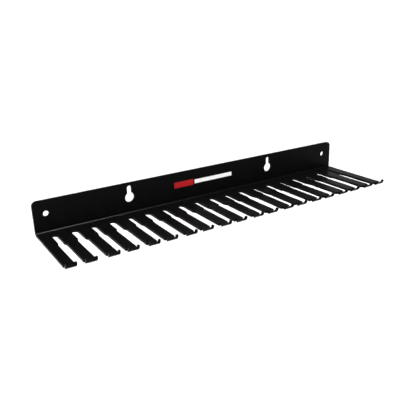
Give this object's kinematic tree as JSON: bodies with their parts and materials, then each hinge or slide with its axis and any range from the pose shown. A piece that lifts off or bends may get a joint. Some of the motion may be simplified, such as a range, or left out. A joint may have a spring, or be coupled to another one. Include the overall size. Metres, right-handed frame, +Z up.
{
  "type": "wall mounted cable comb hanger",
  "caption": "Folded sheet-steel wall rack: upright flange with screw holes and keyholes, level comb shelf whose slots hold hanging cables or leads.",
  "frame": {"origin": "on the wall face of the flange, half-way along it, level with the screw holes", "axes": "+X along the rack from left to right as seen from the room, +Y into the wall, +Z up; the shelf stands out towards -Y"},
  "size_m": [0.4318, 0.1037, 0.0393],
  "materials": {
    "black_coat": "satin powder coat",
    "red_ink": "printed ink",
    "white_ink": "printed ink"
  },
  "bodies": {
    "root": {"comb_hanger": "black_coat", "mark_panel": "red_ink", "mark_bar": "white_ink"}
  },
  "joints": []
}
